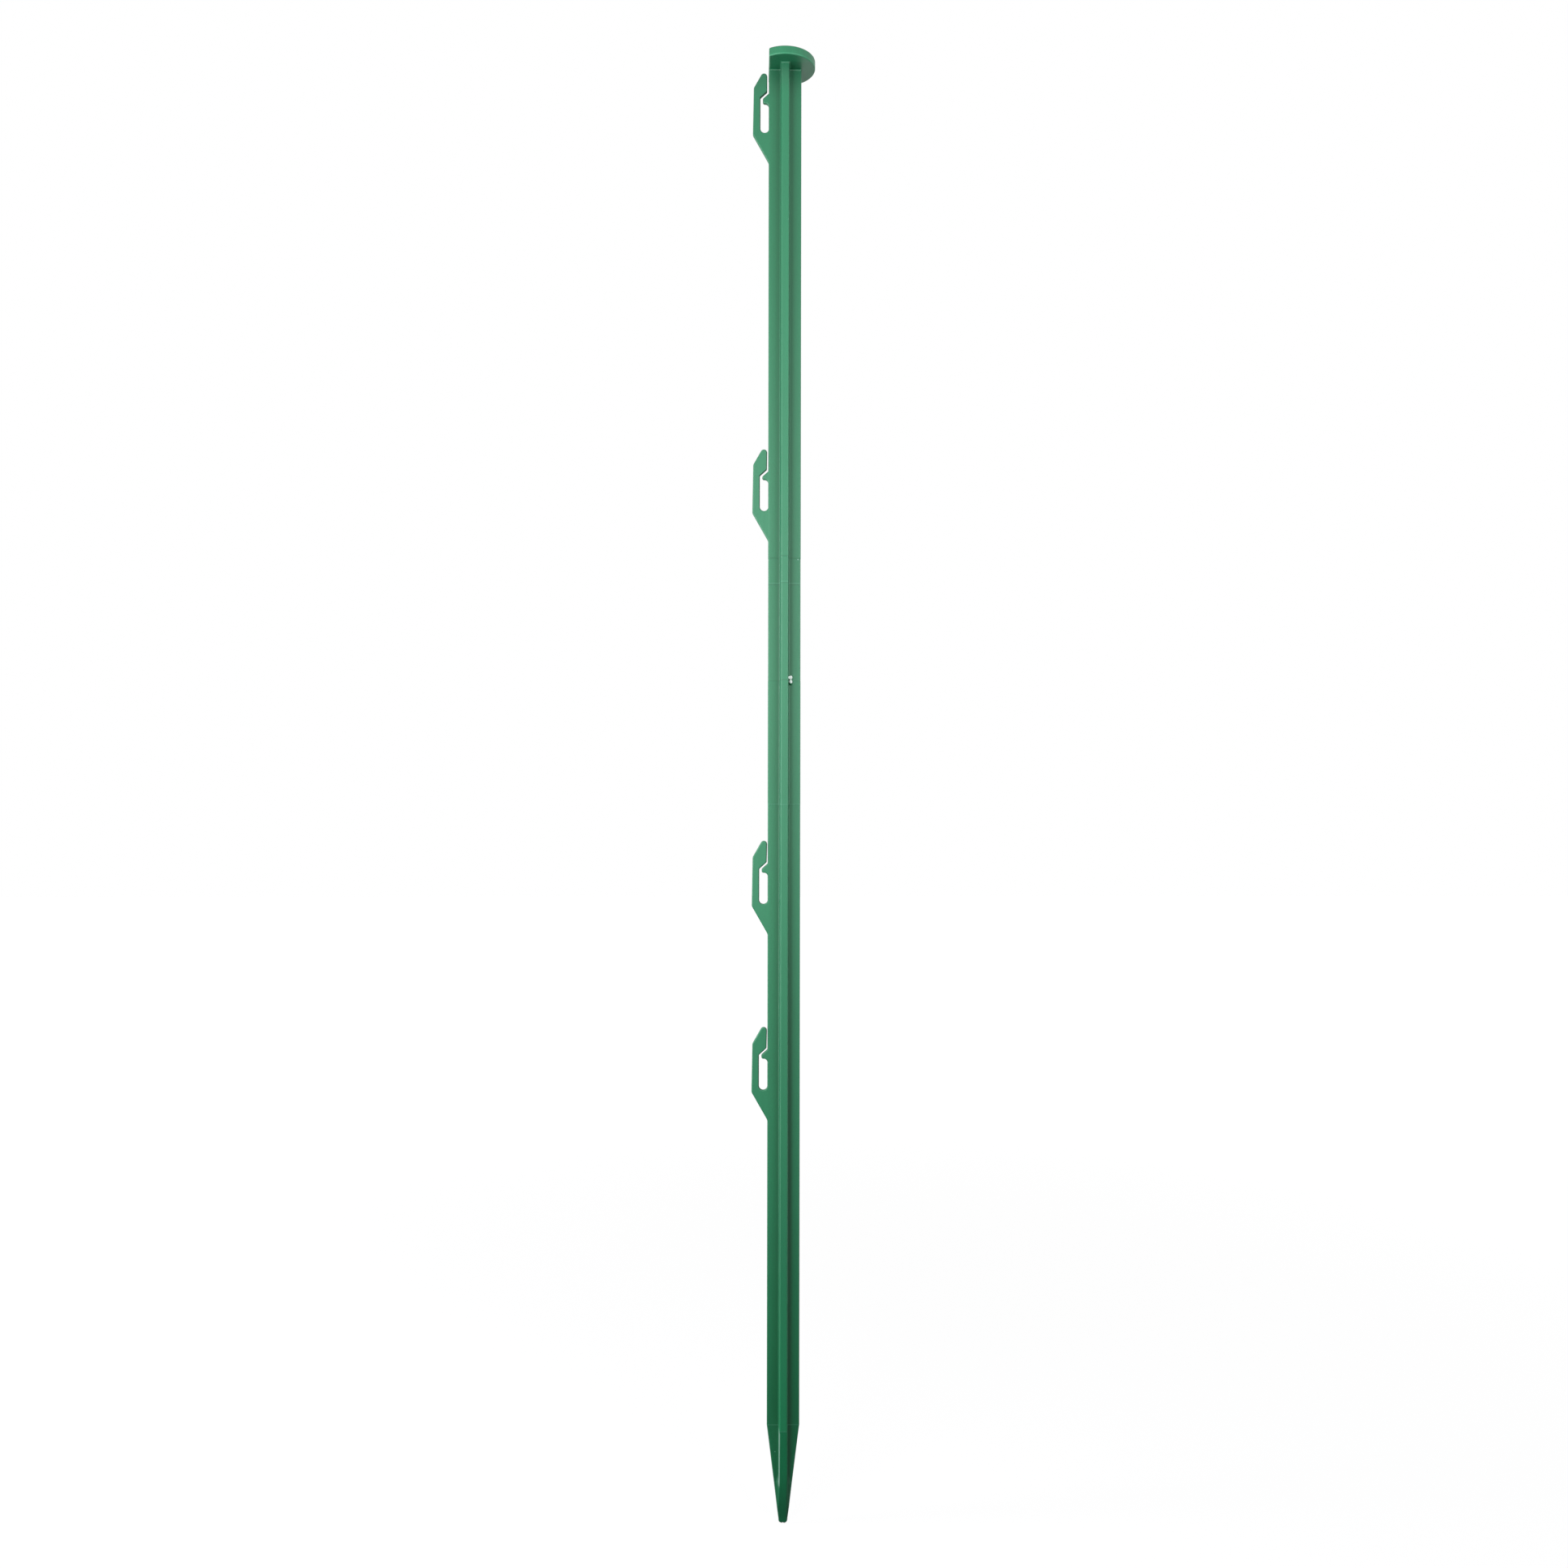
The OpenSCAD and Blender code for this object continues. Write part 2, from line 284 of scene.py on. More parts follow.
quarter = quarter_section(
    reach - blunt + neck + swell, half_width - END_SIDE_RATIO * blunt + swell, root, neck + swell)
ring = whole_section(quarter)
shaft_rows = np.concatenate([ring, np.broadcast_to(levels[..., None], ring.shape[:2] + (1,))], -1)
print("the shaft has", len(levels), "rows")

# %% [markdown]
# The blunt end of the point isn't cut but torn. So its lowest rows sag, more in the middle than
# at the corners, and rise and fall by a few waves round the post. The end face is made of
# smaller and smaller copies of the first row, which hang down like the rest of a drop. All of
# them meet in one point, and the mesh helper merges that into a single vertex.

# %% Tear the end and make the shaft
TORN_HEIGHT = 2.4
TORN_DROP = 1.1
TORN_BULGE = 0.6
TORN_WAVE = 0.2
FACE_DROP = 1.8
FACE_WAVE = 0.5

angle = np.arctan2(shaft_rows[..., 1], shaft_rows[..., 0])
torn = np.clip(1 - levels / TORN_HEIGHT, 0, 1)
uneven = np.sin(3 * angle + 0.7) + 0.6 * np.sin(7 * angle + 2.1) + 0.4 * np.sin(11 * angle)
bulge = 1 - (shaft_rows[..., 0] / END_HALF_WIDTH) ** 2
shaft_rows[..., 2] += torn * (TORN_WAVE * uneven - TORN_DROP - TORN_BULGE * bulge)
shrink = np.linspace(0, 1, 7)[:-1, None]
end_face = shaft_rows[:1] * shrink[..., None]
ripple = FACE_WAVE * shrink * np.sin(5 * angle[:1] + 9 * shrink)
end_face[..., 2] -= (1 - shrink) * (FACE_DROP + ripple)
shaft = closed_object("shaft", np.concatenate([end_face, shaft_rows]))

# %% [markdown]
# ## Slabs with soft edges
# The hooks and the head are both flat slabs whose outlines have rounded corners and whose edges
# are rounded as well. So one pair of functions makes them: the first rounds the corners of an
# outline, and the second carries a rounded edge along that outline. Each ring of the edge is
# the outline moved inwards along its own normals, by as much as the edge has turned.

# %% Outlines with rounded corners, and slabs made from them
def rounded_outline(corners, steps=9):
    """Points of an outline whose corners, given as x, y and radius, are replaced by arcs. An
    arc touches both sides of its corner, so its centre lies on the line that halves the
    angle, and its ends are the feet of the centre on the two sides. Points that fall together
    are left out."""
    corners = np.asarray(corners, float)
    here, radius = corners[:, :2], corners[:, 2:]
    before, after = np.roll(here, 1, 0) - here, np.roll(here, -1, 0) - here
    before /= np.linalg.norm(before, axis=1, keepdims=True)
    after /= np.linalg.norm(after, axis=1, keepdims=True)
    half = np.arccos(np.clip((before * after).sum(1, keepdims=True), -1, 1)) / 2
    middle = before + after
    middle /= np.linalg.norm(middle, axis=1, keepdims=True)
    centre = here + middle * radius / np.sin(half)
    arm = here + before * radius / np.tan(half) - centre
    turning = np.sign(before[:, :1] * after[:, 1:] - before[:, 1:] * after[:, :1])
    sweep = -turning * (math.pi - 2 * half) * np.linspace(0, 1, steps)
    x = centre[:, :1] + arm[:, :1] * np.cos(sweep) - arm[:, 1:] * np.sin(sweep)
    y = centre[:, 1:] + arm[:, :1] * np.sin(sweep) + arm[:, 1:] * np.cos(sweep)
    points = np.stack([x, y], -1).reshape(-1, 2)
    apart = np.linalg.norm(points - np.roll(points, 1, 0), axis=1) > 1e-4
    return points[apart]


def rounded_slab(outline, thickness, edge, steps=8, rest=0.12):
    """Rings of a slab with rounded edges, as x, y and depth. The edge is a quarter circle: at
    the angle a it is inset by 1 - sin a and sunk by 1 - cos a, times its radius. A last ring a
    little further in keeps the flat lid flat up to the start of the edge."""
    ahead = np.roll(outline, -1, 0) - outline
    ahead /= np.linalg.norm(ahead, axis=1, keepdims=True)
    behind = np.roll(ahead, 1, 0)
    inward = np.stack([-ahead[:, 1] - behind[:, 1], ahead[:, 0] + behind[:, 0]], -1)
    inward /= 1 + (ahead * behind).sum(1, keepdims=True)
    a = np.linspace(0, math.pi / 2, steps)
    inset = np.concatenate([[edge + rest], edge * (1 - np.sin(a))])
    sunk = np.concatenate([[0], edge * (1 - np.cos(a))])
    depth = np.concatenate([-thickness / 2 + sunk, thickness / 2 - sunk[::-1]])
    inset = np.concatenate([inset, inset[::-1]])
    flat = outline + inward * inset[:, None, None]
    return np.concatenate([flat, np.broadcast_to(depth[:, None, None], flat.shape[:2] + (1,))], -1)


square = rounded_outline([(0, 0, 1), (10, 0, 1), (10, 10, 1), (0, 10, 1)])
print("a square with round corners has", len(square), "points, a slab of it",
      len(rounded_slab(square, 3, 0.5)), "rings")

# %% [markdown]
# ## The hooks
# A hook is an arm that rises beside the plate, with a slot behind it for the rope. The rope is
# pressed in between the arm's tip and the plate, bends the arm aside, and slips down past the
# barb. A nose on the plate keeps it from coming back. One drawing serves all four hooks, but in
# the photograph their arms aren't equally long, and they have relaxed by different amounts
# since they left the mould. So five measures have one value for each hook, the lowest hook
# first. In the CAD solid only the mouths differ, and the arms of the lower three hooks are up
# to 3 mm shorter.

# %% Sizes of the hooks
SLOT_FLOORS = (354.1, 507.0, 830.0, 1140.8)
MOUTHS = (0.1, 0.2, 0.8, 1.3)
BARB_GAPS = (0.7, 0.8, 1.1, 1.3)
ARM_HEIGHTS = (52.0, 52.3, 50.8, 48.8)
NOSE_HEIGHTS = (25.6, 25.6, 25.6, 24.0)
PASSAGES = (1.7, 1.8, 2.4, 2.6)
SLOT_WIDTH = 6.9
ARM_WIDTH = 6.2
ARM_LEAN = 0.7
TIP_RADIUS = 2.7
SHOULDER = math.radians(29.7)
BARB_HEIGHT = 28.8
BARB_ANGLE = math.radians(42)
BARB_RADIUS = 1.1
FOOT_DEPTH = 24.8
FOOT_ROOT = 6.0
ARM_CORNER = 4.0
NOSE_REACH = 4.9
NOSE_RADIUS = 1.5
NOSE_ROOT = 3.0
SLOT_ROUND = 0.49 * SLOT_WIDTH
BURIED = 3.2
OVERLAP = 0.02
print("hooks at", SLOT_FLOORS, "mm, arms", ARM_HEIGHTS, "mm high")

# %% [markdown]
# Each hook is drawn as one outline of straight lines with rounded corners, and its nose as
# another. Both reach a little way into the plate, so that the weld finds solid plastic there,
# and the lines that face the plate's edge lie a hair inside it, because two walls in one plane
# would confuse the weld. A hook could also be cut from a block with Booleans, but an outline
# keeps every corner's radius as a number.

# %% Make the hooks
def hook_outline(mouth, barb_gap, height):
    """Outline of an arm and its foot, anticlockwise. x runs outwards from the plate's edge and
    y up from the slot's floor. The shoulder is a line that touches the circle of the tip."""
    foot = SLOT_WIDTH + ARM_WIDTH
    shoulder_x = foot - ARM_LEAN
    cos, sin = math.cos(SHOULDER), math.sin(SHOULDER)
    line = cos * (mouth + TIP_RADIUS) + sin * (height - TIP_RADIUS) + TIP_RADIUS
    return rounded_outline([
        (-BURIED, SLOT_WIDTH / 2, 0),
        (-BURIED, -FOOT_DEPTH - FOOT_ROOT, 0),
        (-OVERLAP, -FOOT_DEPTH - FOOT_ROOT, 0),
        (-OVERLAP, -FOOT_DEPTH, FOOT_ROOT),
        (foot, -FOOT_DEPTH + foot / math.tan(SHOULDER), ARM_CORNER),
        (shoulder_x, (line - cos * shoulder_x) / sin, ARM_CORNER),
        (mouth, (line - cos * mouth) / sin, TIP_RADIUS),
        (barb_gap, BARB_HEIGHT + (SLOT_WIDTH - barb_gap) * math.tan(BARB_ANGLE), BARB_RADIUS),
        (SLOT_WIDTH, BARB_HEIGHT, BARB_RADIUS),
        (SLOT_WIDTH, 0, SLOT_ROUND),
        (-OVERLAP, 0, SLOT_ROUND),
        (-OVERLAP, SLOT_WIDTH / 2, 0),
    ])


def nose_outline(height, passage):
    """Outline of a nose: its top runs parallel to the barb, and a fillet joins its underside
    to the plate."""
    top = BARB_HEIGHT + SLOT_WIDTH * math.tan(BARB_ANGLE) - passage
    return rounded_outline([
        (-BURIED, top, 0),
        (-BURIED, height - 2 * NOSE_ROOT, 0),
        (-OVERLAP, height - 2 * NOSE_ROOT, 0),
        (-OVERLAP, height, NOSE_ROOT),
        (NOSE_REACH, height, NOSE_RADIUS),
        (NOSE_REACH, top - NOSE_REACH * math.tan(BARB_ANGLE), NOSE_RADIUS),
        (0, top, 0),
    ])


def stand_on_edge(slab, floor):
    """A slab's rings turned into the plate's plane: its x points away from the post, its y up
    from the slot's floor and its depth towards the rear."""
    return np.stack([-HALF_PLATE - slab[..., 0], slab[..., 2], floor + slab[..., 1]], -1)


additions = []
fits = zip(SLOT_FLOORS, MOUTHS, BARB_GAPS, ARM_HEIGHTS, NOSE_HEIGHTS, PASSAGES)
for number, (slot_floor, mouth, barb_gap, arm, nose, passage) in enumerate(fits, 1):
    outlines = {"hook": hook_outline(mouth, barb_gap, arm), "nose": nose_outline(nose, passage)}
    for kind, outline in outlines.items():
        slab = rounded_slab(outline, 2 * HALF_THICKNESS, PLATE_EDGE)
        additions.append(closed_object(f"{kind}_{number}", stand_on_edge(slab, slot_floor)))

# %% [markdown]
# ## The head
# The head is a thick round disc that takes the blows. It has one flat, flush with the plate, so
# that a rope can be led past it into the top hook. It is a slab too, seen from above: a circle
# with a straight cut, whose two corners are slightly rounded. The cut lies a hair outside the
# plate's edge, again to keep two walls out of one plane.

# %% Make the head
HEAD_RADIUS = 49.4 / 2
HEAD_FLAT = HALF_PLATE + 0.03
HEAD_EDGE = 1.1
HEAD_CORNER = 1.5

flat_angle = math.acos(HEAD_FLAT / HEAD_RADIUS)
around = np.linspace(flat_angle - math.pi, math.pi - flat_angle, 110)
corner_radius = np.zeros_like(around)
corner_radius[[0, -1]] = HEAD_CORNER
head_outline = rounded_outline(
    np.stack([HEAD_RADIUS * np.cos(around), HEAD_RADIUS * np.sin(around), corner_radius], -1))
head_rings = rounded_slab(head_outline, HEAD_THICKNESS, HEAD_EDGE)
head_rings[..., 2] += POST_LENGTH - HEAD_THICKNESS / 2
additions.append(closed_object("head", head_rings))

# %% [markdown]
# ## The torn gate
# The plastic entered the mould beside the front rib. The stalk was twisted off there, which
# left a stub: a thick lobe on top, a thinner one below it, and a rough broken face between
# them. Both lobes are balls that are stretched, flattened in front and made uneven by a few
# waves over their surface.

# %% Make the two lobes of the gate
GATE = np.array([5.14, -2.25, 691.0])
POLE_CAP = 0.12
FRONT = -0.55
PRESSED = 0.35


def lobe(name, offset, size, wave, seed):
    """Closed ball with uneven sides. Its radius varies with three sine waves of its two
    angles, its poles lie left and right under small flat caps, and what lies in front of
    FRONT is pressed back to a share of its depth."""
    random = np.random.default_rng(seed)
    phase = random.uniform(0, 2 * math.pi, 3)
    v = np.linspace(POLE_CAP, math.pi - POLE_CAP, 20)[:, None]
    u = np.linspace(0, 2 * math.pi, 33)[None, :-1]
    waves = np.sin(3 * u + phase[0])
    waves = waves + 0.7 * np.sin(5 * u + 2 * v + phase[1]) + 0.5 * np.sin(4 * v + phase[2])
    radius = 1 + wave * np.sin(v) * waves
    x = radius * np.cos(v) + 0 * u
    y = radius * np.sin(v) * np.cos(u)
    z = radius * np.sin(v) * np.sin(u)
    y = np.where(y < FRONT, FRONT + PRESSED * (y - FRONT), y)
    return closed_object(name, np.stack([x, y, z], -1) * np.array(size) + (GATE + offset))


additions.append(lobe("gate_top", (-0.05, -0.2, 2.0), (1.75, 2.8, 1.75), 0.05, 3))
additions.append(lobe("gate_low", (0.23, 0.13, -1.93), (1.45, 2.3, 2.45), 0.07, 5))

# %% [markdown]
# ## One moulding
# The real post has no joints, so its pieces are welded into a single skin. A Boolean modifier
# does that and removes every wall that ends up inside. It leaves some faces without area, and
# cleaning them away can leave an edge that no face uses, so such edges are deleted too. The skin
# is then shaded smooth, with normals weighted by the size of the faces, so that flat faces stay
# flat right up to the soft edges around them.

# %% Weld the pieces into one skin
SHARP_ANGLE = math.radians(50)

melt = bpy.data.collections.new("melt")
for piece in additions:
    bpy.context.scene.collection.objects.unlink(piece)
    melt.objects.link(piece)
weld = shaft.modifiers.new("weld", "BOOLEAN")
weld.operation = "UNION"
weld.solver = "EXACT"
weld.operand_type = "COLLECTION"
weld.collection = melt
bpy.context.view_layer.update()
skin = bpy.data.meshes.new_from_object(shaft.evaluated_get(bpy.context.evaluated_depsgraph_get()))
for piece in [*additions, shaft]:
    bpy.data.objects.remove(piece)
bpy.data.collections.remove(melt)

shape = bmesh.new()
shape.from_mesh(skin)
bmesh.ops.dissolve_degenerate(shape, dist=MERGE_DISTANCE, edges=shape.edges)
stray = [edge for edge in shape.edges if not edge.link_faces]
bmesh.ops.delete(shape, geom=stray, context="EDGES")
bmesh.ops.recalc_face_normals(shape, faces=shape.faces)
bmesh.ops.triangulate(shape, faces=[f for f in shape.faces if len(f.verts) > 4])
measure("skin", shape)
shape.to_mesh(skin)
shape.free()
skin.polygons.foreach_set("use_smooth", np.ones(len(skin.polygons), bool))
skin.set_sharp_from_angle(angle=SHARP_ANGLE)
post = bpy.data.objects.new("post_body", skin)
bpy.context.scene.collection.objects.link(post)
weighted = post.modifiers.new("weighted_normals", "WEIGHTED_NORMAL")
weighted.keep_sharp = True
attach(post, "root")
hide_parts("post")

# %% [markdown]
# ## Shader arithmetic
# A finish is easier to read as formulas than as boxes and wires. This small class wraps the
# output of a shader node, so that + - and * on it add the matching Math nodes. Any other node
# comes from one method that takes its type, its settings and its inputs.

# %% A class for shader arithmetic
class Signal:
    """Output of a node in a material, with the arithmetic that the finishes need."""

    def __init__(self, tree, socket=None):
        self.tree, self.socket = tree, socket

    def node(self, kind, settings=(), inputs=(), output=0):
        """Adds a node of that kind, sets it up, fills its inputs and returns one output."""
        made = self.tree.nodes.new(kind)
        for key, value in dict(settings).items():
            setattr(made, key, value)
        for key, value in dict(inputs).items():
            if isinstance(value, Signal):
                self.tree.links.new(value.socket, made.inputs[key])
            else:
                made.inputs[key].default_value = value
        return Signal(self.tree, made.outputs[output])

    def also(self, output):
        """Another output of the node that this one comes from."""
        return Signal(self.tree, self.socket.node.outputs[output])

    def math(self, operation, *values):
        """Result of a Math node on these values."""
        return self.node("ShaderNodeMath", {"operation": operation}, dict(enumerate(values)))

    def __add__(self, other):
        return self.math("ADD", self, other)

    def __sub__(self, other):
        return self.math("SUBTRACT", self, other)

    def __mul__(self, other):
        return self.math("MULTIPLY", self, other)

    def __rsub__(self, other):
        return self.math("SUBTRACT", other, self)

    __radd__, __rmul__ = __add__, __mul__

    def __abs__(self):
        return self.math("ABSOLUTE", self)

    def ramp(self, low, high):
        """0 at low, 1 at high and a smooth rise between them."""
        return self.node("ShaderNodeMapRange", {"interpolation_type": "SMOOTHSTEP"},
                         {"Value": self, "From Min": low, "From Max": high})

    def blend(self, low, high):
        """Colour that goes from low to high as this number goes from 0 to 1."""
        return self.node("ShaderNodeMix", {"data_type": "RGBA"},
                         {"Factor": self, "A": low, "B": high}, "Result")


# %% [markdown]
# ## Green plastic
# The post is dyed polypropylene: a deep bluish green with a broad soft sheen, because its
# surface is smooth but not polished. The melt has left very faint streaks along the post, and
# the dye is not perfectly even. Three noises give that: a cloud that is as large as a hand, a
# streak that is stretched along the post, and a fine grain. They follow Object coordinates, in
# metres, so they need no unwrapping and stay in place in every view.

# %% Begin the plastic with its uneven dye
DARK_GREEN = (0.0115, 0.240, 0.099, 1)
LIGHT_GREEN = (0.0175, 0.300, 0.126, 1)

plastic = bpy.data.materials.new("green_plastic")
plastic.use_nodes = True
tree = plastic.node_tree
shader = next(node for node in tree.nodes if node.type == "BSDF_PRINCIPLED")
where = Signal(tree).node("ShaderNodeTexCoord", output="Object")
split = where.node("ShaderNodeSeparateXYZ", inputs={"Vector": where})
x, y, z = (split.also(axis) for axis in "XYZ")


def noise(scale, stretch=(1, 1, 1), detail=2.0, rough=0.5):
    """Noise from 0 to 1 with about scale lumps a metre. An axis whose stretch is below 1 gets
    fewer and longer lumps."""
    placed = where.node("ShaderNodeMapping", inputs={"Vector": where, "Scale": stretch})
    return where.node("ShaderNodeTexNoise", {"noise_dimensions": "3D"},
                      {"Vector": placed, "Scale": scale, "Detail": detail, "Roughness": rough})


cloud = noise(7.0, detail=3.0)
streak = noise(260.0, (1, 1, 0.012), 3.0)
grain = noise(900.0, detail=3.0, rough=0.6)
shade = (cloud - 0.5) * 0.5 + (streak - 0.5) * 0.7 + (grain - 0.5) * 0.35 + 0.5
dye = shade.ramp(0.1, 0.9).blend(DARK_GREEN, LIGHT_GREEN)
print("the dye has", len(tree.nodes), "nodes")

# %% [markdown]
# The roots of the ribs, the place below the head and the inner edges of the hooks get little
# light on the real post, and the soft boxes alone leave them brighter than they are there. So a
# deeper green is laid over them as painted shade, and over the plate towards the head and
# towards the ground as well. Each place is a mask, a product of ramps along x, y and z, and
# each mask has its green. The lower rim of the head gets a lighter green as a painted highlight,
# and the foot of the post a brighter, more saturated green, in the same way. Darker lamps could
# not do it, because they would darken the faces beside these corners as well.

# %% Lay painted shade and painted highlights over the dye
ROOT_SHADE_GREEN = (0.0085, 0.195, 0.080, 1)
SHADE_GREEN = (0.004, 0.12, 0.05, 1)
FOOT_GREEN = (0.006, 0.36, 0.125, 1)
LOW_SHADE_GREEN = (0.004, 0.13, 0.05, 1)
DEEP_SHADE_GREEN = (0.002, 0.07, 0.03, 1)
RIM_HIGHLIGHT_GREEN = (0.04, 0.46, 0.20, 1)

side, depth = abs(x), abs(y)
plate = 1 - depth.ramp(0.002, 0.009)
# painted shade: the roots of the ribs, and the plate more and more towards the head
corner = (1 - side.ramp(0.0045, 0.0085)) * plate
shade_towards_head = plate * z.ramp(0.4, 1.2)
# painted shadow below the head and on its underside
shadow_below_head = z.ramp(1.165, 1.191) * (1 - z.ramp(1.1932, 1.1936))
foot = 1 - z.ramp(0.02, 0.26)
# painted shade: the plate gets darker towards the ground, where the light falls off
lower = plate * (1 - z.ramp(0.04, 0.28))
# painted shade in the root on the right of the rib, away from the light, strongest near the ground
deep_root_shade = corner * x.ramp(0.002, 0.003) * (1 - z.ramp(0.25, 0.62))
# painted shade on the edges of the hooks that face right, towards the plate
facing_right = where.node("ShaderNodeSeparateXYZ", inputs={"Vector": where.also("Normal")})
inner_edge_shade = facing_right.ramp(0.08, 0.4) * (1 - x.ramp(-0.0136, -0.0133))
# painted highlight: a lighter green along the lower rim of the head
rim_highlight = z.ramp(1.1930, 1.1934) * (1 - z.ramp(1.1939, 1.1946))
for mask, green in (
    (corner * 0.9 + shade_towards_head * 0.45, ROOT_SHADE_GREEN),
    (shadow_below_head * 0.55, SHADE_GREEN),
    (foot * 0.6, FOOT_GREEN),
    (lower * 0.55, LOW_SHADE_GREEN),
    (deep_root_shade * 0.8, DEEP_SHADE_GREEN),
    (inner_edge_shade * 0.95, DEEP_SHADE_GREEN),
    (rim_highlight * 0.45, RIM_HIGHLIGHT_GREEN),
):
    dye = mask.blend(dye, green)
print("with the deeper greens it has", len(tree.nodes), "nodes")

# %% [markdown]
# Where the gate was torn off, the plastic was stretched, and stretched plastic turns white. So
# the stub is marked by its distance from two points, with a ragged edge. The whole stub also
# gets a faint painted glow, an emission that stands in for the light its broken plastic
# scatters. The mould's lines are thin bands across the post: a painted highlight where a ridge
# catches the light, and painted shade where a step is in shade.

# %% Mark the torn gate and the lines of the mould
TORN_WHITE = (0.94, 1.0, 0.97, 1)
PAINTED_GATE_GLOW = (0.24, 0.27, 0.25, 1)
LINE_HIGHLIGHT_GREEN = (0.10, 0.42, 0.25, 1)
LINE_SHADE_GREEN = (0.004, 0.11, 0.045, 1)
NOTHING = (0, 0, 0, 1)


def gap(spot_mm):
    """Distance in metres from a point that is given in millimetres."""
    spot = tuple(v * MM for v in spot_mm)
    return where.node("ShaderNodeVectorMath", {"operation": "DISTANCE"},
                      {0: where, 1: spot}, "Value")


def bands(levels_mm, fade):
    """Sum of thin bands across the post: 1 at each level, and 0 at the distance fade from it."""
    return sum(1 - abs(z - level * MM).ramp(0.0001, fade) for level in levels_mm)


ragged = (noise(1400.0) - 0.5) * 0.0022
top_lobe = 1 - (gap((5.0, -4.4, 693.0)) + ragged).ramp(0.0014, 0.0020)
low_lobe = 1 - (gap((5.7, -4.2, 690.2)) + ragged).ramp(0.0015, 0.0022)
torn_gate = top_lobe + (1 - top_lobe) * low_lobe
# painted highlight on the ridges and painted shade beside the steps of the mould's lines
dye = (bands((POINT_LENGTH, 770.5, 589.0), 0.0005) * 0.5).blend(dye, LINE_HIGHLIGHT_GREEN)
dye = (bands((769.4, 690.4, 791.4), 0.0006) * 0.35).blend(dye, LINE_SHADE_GREEN)
colour = torn_gate.blend(dye, TORN_WHITE)
# painted glow: an emission on the stub in place of the light that its plastic scatters
glow = torn_gate.blend(NOTHING, PAINTED_GATE_GLOW)
tree.links.new(glow.socket, shader.inputs["Emission Color"])
shader.inputs["Emission Strength"].default_value = 1.0
print("with the gate and the lines it has", len(tree.nodes), "nodes")

# %% [markdown]
# A strip of the point's left flank, which faces the light from the left, gets a pale green as a
# painted highlight, and the edges of the point get the same pale green, more faintly. The edge
# of the point is a straight line in x and z, so the distance from it is a formula, and a ramp
# over that distance gives the pale edge. A few pale flecks of unmelted plastic lie in the
# surface. Each is a small ball round a point.

# %% Add the painted flank highlight, the pale edges and the flecks
PALE_POINT_GREEN = (0.36, 0.66, 0.50, 1)
FLECK_GREEN = (0.30, 0.62, 0.48, 1)
FLECKS = (  # x, y and z of the middle, then the radius, in millimetres
    (2.9, -13.4, 1065.0, 0.5),
    (11.2, -1.7, 790.0, 0.7),
    (2.9, -13.4, 690.6, 0.5),
    (-6.6, -1.7, 57.0, 0.5),
)

# painted highlight on the left flank of the point, which faces the light
flank = (1 - abs(x + 3.4 * MM).ramp(0.0004, 0.0009)) * (1 - y.ramp(-0.0035, -0.0022))
strip = flank * (1 - z.ramp(0.0765, 0.0785)) * z.ramp(0.028, 0.034)
flank_highlight = strip * (0.9 + (grain - 0.5) * 0.8)
colour = flank_highlight.blend(colour, PALE_POINT_GREEN)
slope = (HALF_PLATE - END_HALF_WIDTH) / (POINT_LENGTH - END_HEIGHT)
inside = z * slope + (END_HALF_WIDTH - slope * END_HEIGHT) * MM - side
pale_edges = (1 - inside.ramp(0.0002, 0.0009)) * (1 - z.ramp(0.07, 0.08))
colour = (pale_edges * 0.30).blend(colour, PALE_POINT_GREEN)
for *middle, radius in FLECKS:
    fleck = 1 - gap(middle).ramp(0.4 * radius * MM, radius * MM)
    colour = fleck.blend(colour, FLECK_GREEN)
tree.links.new(colour.socket, shader.inputs["Base Color"])
print("the whole colour has", len(tree.nodes), "nodes")

# %% [markdown]
# The sheen of the plastic is broad, so its roughness is near a half. It varies a little with
# the cloud and the grain, is lower on the torn gate, and is higher in the deep root and on the
# inner edges, which the lamps would otherwise make shine. The relief is a few hundredths of a
# millimetre: grain, streaks, and the parting line of the mould along the plate's edge.

# %% Give the plastic its sheen and relief
rough = (0.46 + (cloud - 0.5) * 0.10 + (grain - 0.5) * 0.08
         - torn_gate * 0.15 + inner_edge_shade * 0.3 + deep_root_shade * 0.25)
tree.links.new(rough.socket, shader.inputs["Roughness"])
parting = 1 - depth.ramp(0.00004, 0.00014)
relief = (grain - 0.5) * 0.00002 + (streak - 0.5) * 0.000025 + parting * 0.00006
bump = where.node("ShaderNodeBump", inputs={"Strength": 1.0, "Distance": 1.0, "Height": relief})
tree.links.new(bump.socket, shader.inputs["Normal"])
shader.inputs["IOR"].default_value = 1.49
shader.inputs["Specular IOR Level"].default_value = 0.95

post.data.materials.append(plastic)
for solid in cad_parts.values():
    solid.data.materials.clear()
    solid.data.materials.append(plastic)
print("the plastic has", len(tree.nodes), "nodes")

# %% [markdown]
# ## The studio
# The background is pure white, and the post still throws a faint shadow. The floor is a pale
# sweep that glows for the camera, more so further away, so that no horizon shows and the shadow
# stays. Reflections see it bright behind the post and dim in front of it, and that is why the
# foot of the post has less sheen than its middle. It lies a little below the CAD's zero, so
# that the torn end of the point isn't cut off.

# %% Make the floor
FLOOR_SIZE = 12.0
FLOOR_LEVEL = -0.003
FLOOR_GREY = (0.12, 0.12, 0.12, 1)
WHITE = (1, 1, 1, 1)


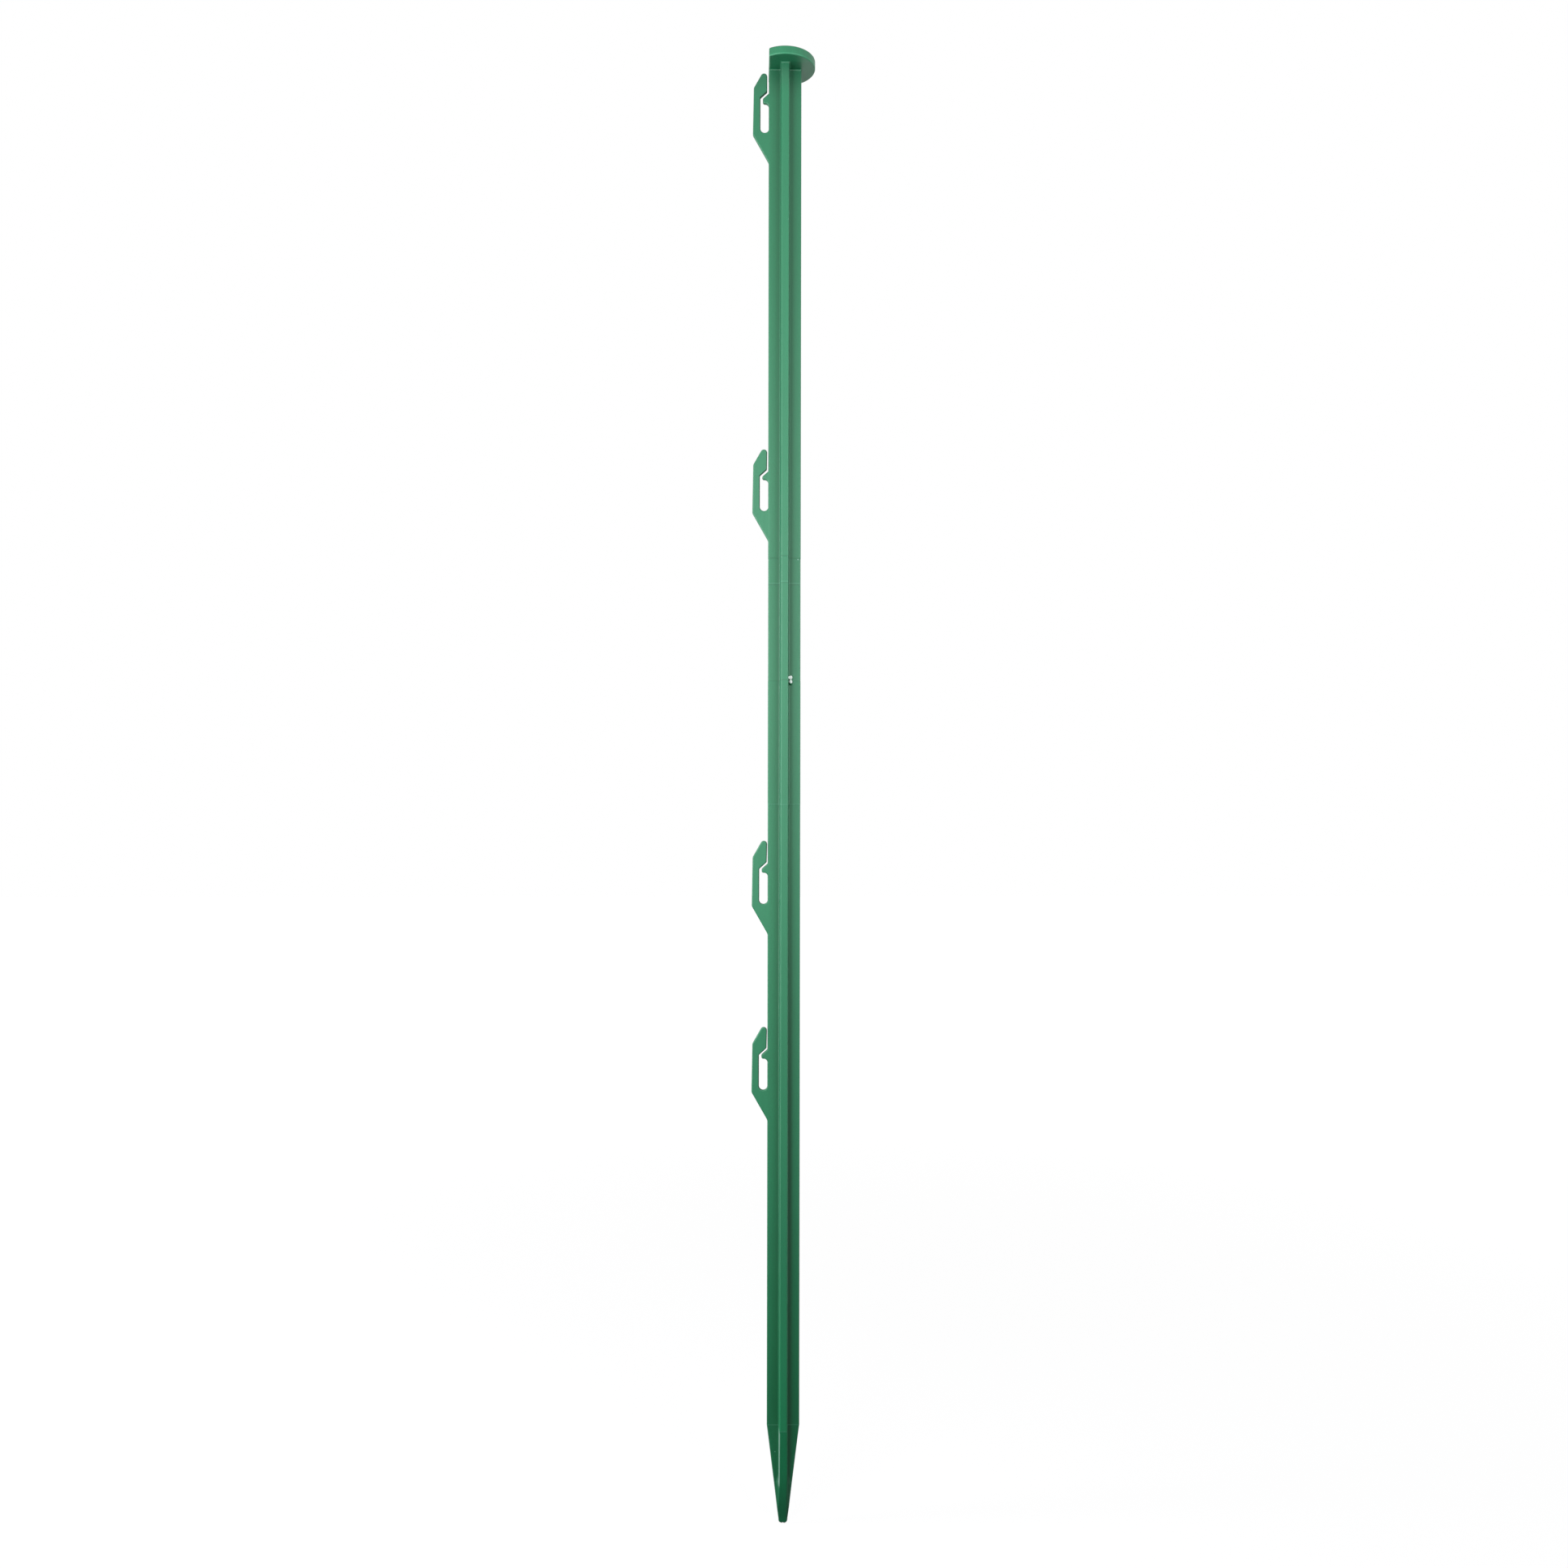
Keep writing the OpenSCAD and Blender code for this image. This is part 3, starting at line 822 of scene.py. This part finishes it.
def white_stage(name):
    """Pale floor: a matt surface that also glows for the camera and, behind the post, in
    reflections."""
    material = bpy.data.materials.new(name)
    material.use_nodes = True
    tree = material.node_tree
    tree.nodes.clear()
    end = tree.nodes.new("ShaderNodeOutputMaterial")
    seen = Signal(tree).node("ShaderNodeLightPath", output="Is Camera Ray")
    mirrored = seen.also("Is Glossy Ray")
    where = seen.node("ShaderNodeTexCoord", output="Object")
    away = where.node("ShaderNodeVectorMath", {"operation": "LENGTH"}, {0: where}, "Value")
    y = where.node("ShaderNodeSeparateXYZ", inputs={"Vector": where}, output="Y")
    bright = y.math("MAXIMUM", y.ramp(0.0, 0.35), away.ramp(0.2, 3.0))
    glow = seen * (away.ramp(0.3, 2.5) * 0.08 + 0.94) + mirrored * bright
    matt = seen.node("ShaderNodeBsdfDiffuse", inputs={"Color": FLOOR_GREY})
    light = seen.node("ShaderNodeEmission", inputs={"Color": WHITE, "Strength": glow})
    both = seen.node("ShaderNodeAddShader", inputs={0: matt, 1: light})
    tree.links.new(both.socket, end.inputs["Surface"])
    return material


corners = np.array([(-1, -1, 0), (1, -1, 0), (1, 1, 0), (-1, 1, 0)]) * FLOOR_SIZE / 2
corners[:, 2] = FLOOR_LEVEL
floor_mesh = bpy.data.meshes.new("floor")
floor_mesh.from_pydata(corners.tolist(), [], [(0, 1, 2, 3)])
floor_mesh.materials.append(white_stage("pale_floor"))
floor = bpy.data.objects.new("floor", floor_mesh)
bpy.context.scene.collection.objects.link(floor)
print("floor:", FLOOR_SIZE, "m wide, at", FLOOR_LEVEL, "m")

# %% [markdown]
# The world is white to the camera, to reflections and to anything transparent, while its real
# light on the post is dim and comes from behind. A strong white world would be simpler, but it
# would light every corner of the post alike and take its form away.

# %% Make the world
FILL = 0.4

world = bpy.data.worlds.new("studio")
bpy.context.scene.world = world
world.use_nodes = True
sky_tree = world.node_tree
sky_tree.nodes.clear()
end = sky_tree.nodes.new("ShaderNodeOutputWorld")
camera_ray = Signal(sky_tree).node("ShaderNodeLightPath", output="Is Camera Ray")
other_rays = camera_ray.also("Is Glossy Ray") + camera_ray.also("Is Transmission Ray")
white_rays = (camera_ray + other_rays).ramp(0, 1)
heading = white_rays.node("ShaderNodeTexCoord", output="Generated")
to_rear = heading.node("ShaderNodeSeparateXYZ", inputs={"Vector": heading}, output="Y")
strength = white_rays + (1 - white_rays) * to_rear.ramp(-0.3, 0.4) * FILL
sky = white_rays.node("ShaderNodeBackground", inputs={"Color": WHITE, "Strength": strength})
sky_tree.links.new(sky.socket, end.inputs["Surface"])
print("the world has", len(sky_tree.nodes), "nodes")

# %% [markdown]
# Two soft boxes stand left and right of the camera, above the middle of the post. The left one
# is wider. Between them they light the plate evenly on both sides of the rib, and each leaves
# the root of the rib on the far side in shade. Their distance sets how fast the light falls off
# towards the two ends. A tall narrow light far to the left, nearly in line with the plate,
# brightens the rib's left flank and hardly touches the plate.

# %% Make the lamps
LAMP_COLOUR = (1.0, 1.0, 1.06)


def soft_box(name, place, target, size, power):
    """Area light that faces a target point. Sizes in metres, power in watts."""
    light = bpy.data.lights.new(name, "AREA")
    light.shape = "RECTANGLE"
    light.size, light.size_y = size
    light.energy = power
    light.color = LAMP_COLOUR
    lamp = bpy.data.objects.new(name, light)
    bpy.context.scene.collection.objects.link(lamp)
    facing = (Vector(target) - Vector(place)).to_track_quat("-Z", "Y")
    lamp.matrix_world = Matrix.Translation(place) @ facing.to_matrix().to_4x4()
    print(f"{name}: {power} W from {size[0]} x {size[1]} m")


soft_box("left_box", (-0.52, -0.9, 0.88), (0, 0, 0.88), (0.6, 0.5), 6.1)
soft_box("right_box", (0.58, -0.9, 0.88), (0, 0, 0.88), (0.4, 0.5), 4.3)
soft_box("left_wall", (-1.2, -0.12, 0.4), (0, 0, 0.4), (0.2, 1.2), 8.5)

# %% [markdown]
# ## Finish
# The skin should be as large as the CAD solid that it stands for. Only the torn end reaches
# further, by 2 mm. The last line sets the view transform to Standard.

# %% Finish
bpy.context.scene.view_settings.view_transform = "Standard"
